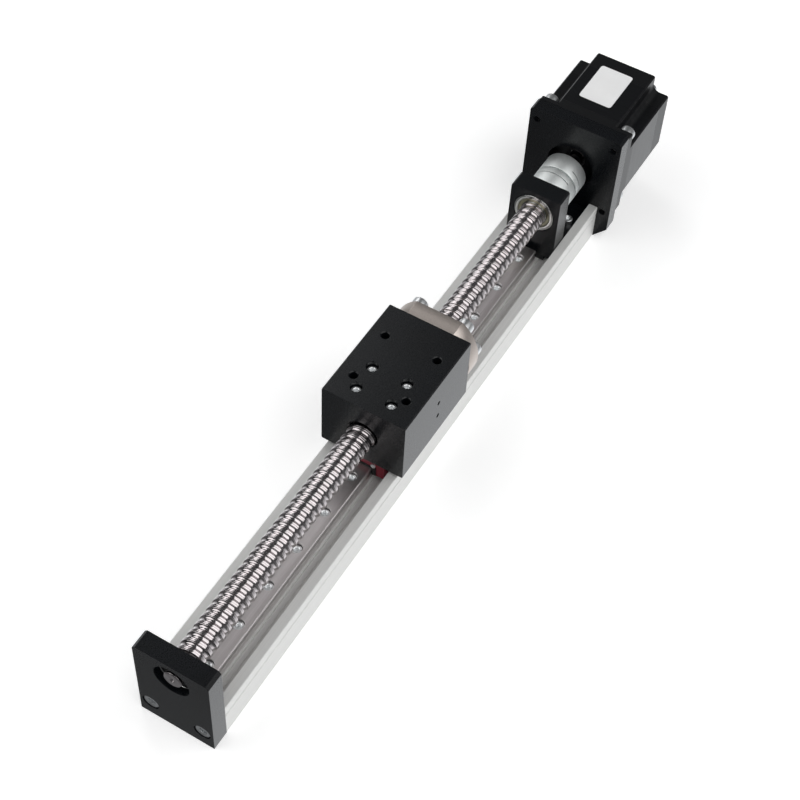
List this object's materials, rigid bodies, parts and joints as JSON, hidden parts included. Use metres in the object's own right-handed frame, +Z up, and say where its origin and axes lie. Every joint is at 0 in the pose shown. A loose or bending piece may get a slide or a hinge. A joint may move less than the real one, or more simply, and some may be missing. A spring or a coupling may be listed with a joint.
{
  "type": "ball screw linear module",
  "caption": "Linear module with a channel base, guide rail, ball screw between bearings, slider block on a rail carriage and ball nut, shaft coupling and square stepper motor.",
  "frame": {"origin": "centre of the base extrusion's underside, halfway along its length", "axes": "+X across the module, +Y along it towards the motor, +Z up"},
  "size_m": [0.0564, 0.448, 0.0752],
  "materials": {
    "silver_anodised": "satin silver anodised extrusion",
    "black_anodised": "satin black anodised",
    "bare_aluminium": "bright turned",
    "ground_steel": "ground and polished",
    "rail_steel": "ground",
    "nickelled_steel": "dull nickelled",
    "bearing_steel": "polished",
    "shield_steel": "pressed",
    "zinc_steel": "bright zinc",
    "black_oxide_steel": "black oxide",
    "spring_steel": "dark sprung steel",
    "laminated_steel": "black painted laminations",
    "painted_cap": "satin black",
    "red_plastic": "moulded dark red",
    "black_rubber": "matt",
    "white_plastic": "matt"
  },
  "bodies": {
    "base": {"base_profile": "silver_anodised", "end_plate": "black_anodised", "end_plate_screws": "zinc_steel", "idler_bearing_outer_ring": "bearing_steel", "idler_bearing_shields": "black_rubber", "guide_rail": "rail_steel", "rail_screws": "zinc_steel", "bearing_block": "black_anodised", "bearing_block_screws": "zinc_steel", "fixed_bearing_outer_ring": "bearing_steel", "fixed_bearing_shields": "shield_steel", "motor_plate": "black_anodised", "motor_plate_screws": "black_oxide_steel", "motor_screws": "zinc_steel", "motor_front_cap": "painted_cap", "motor_stator": "laminated_steel", "motor_rear_cap": "painted_cap", "motor_case_screws": "zinc_steel", "motor_bearing_outer_rings": "bearing_steel", "motor_bearing_shields": "shield_steel", "motor_cable_grommet": "black_rubber"},
    "slider": {"slider_block": "black_anodised", "slider_screws": "zinc_steel", "guide_carriage": "rail_steel", "carriage_end_caps": "red_plastic", "carriage_end_seals": "black_rubber", "carriage_cap_screws": "zinc_steel", "ball_nut": "nickelled_steel", "ball_returns": "white_plastic", "nut_wipers": "white_plastic", "nut_screws": "zinc_steel"},
    "screw": {"ball_screw": "ground_steel", "idler_bearing_inner_ring": "bearing_steel", "snap_ring": "spring_steel", "fixed_bearing_inner_ring": "bearing_steel", "lock_nut": "black_oxide_steel", "coupling": "bare_aluminium", "coupling_screws": "zinc_steel", "motor_shaft": "ground_steel", "motor_rotor": "laminated_steel", "motor_bearing_inner_rings": "bearing_steel"}
  },
  "joints": [
    {"name": "screw_spin", "type": "hinge", "parent": "base", "child": "screw", "pos_m": [0, 0, 0.0445], "axis": [0, 1, 0], "range_deg": [-6910, 10366]},
    {"name": "carriage_slide", "type": "slide", "parent": "base", "child": "slider", "axis": [0, 1, 0], "range_m": [-0.144, 0.096]}
  ],
  "couplings": [
    {"joint": "carriage_slide", "follows": "screw_spin", "m_per_rad": -0.00079577}
  ]
}
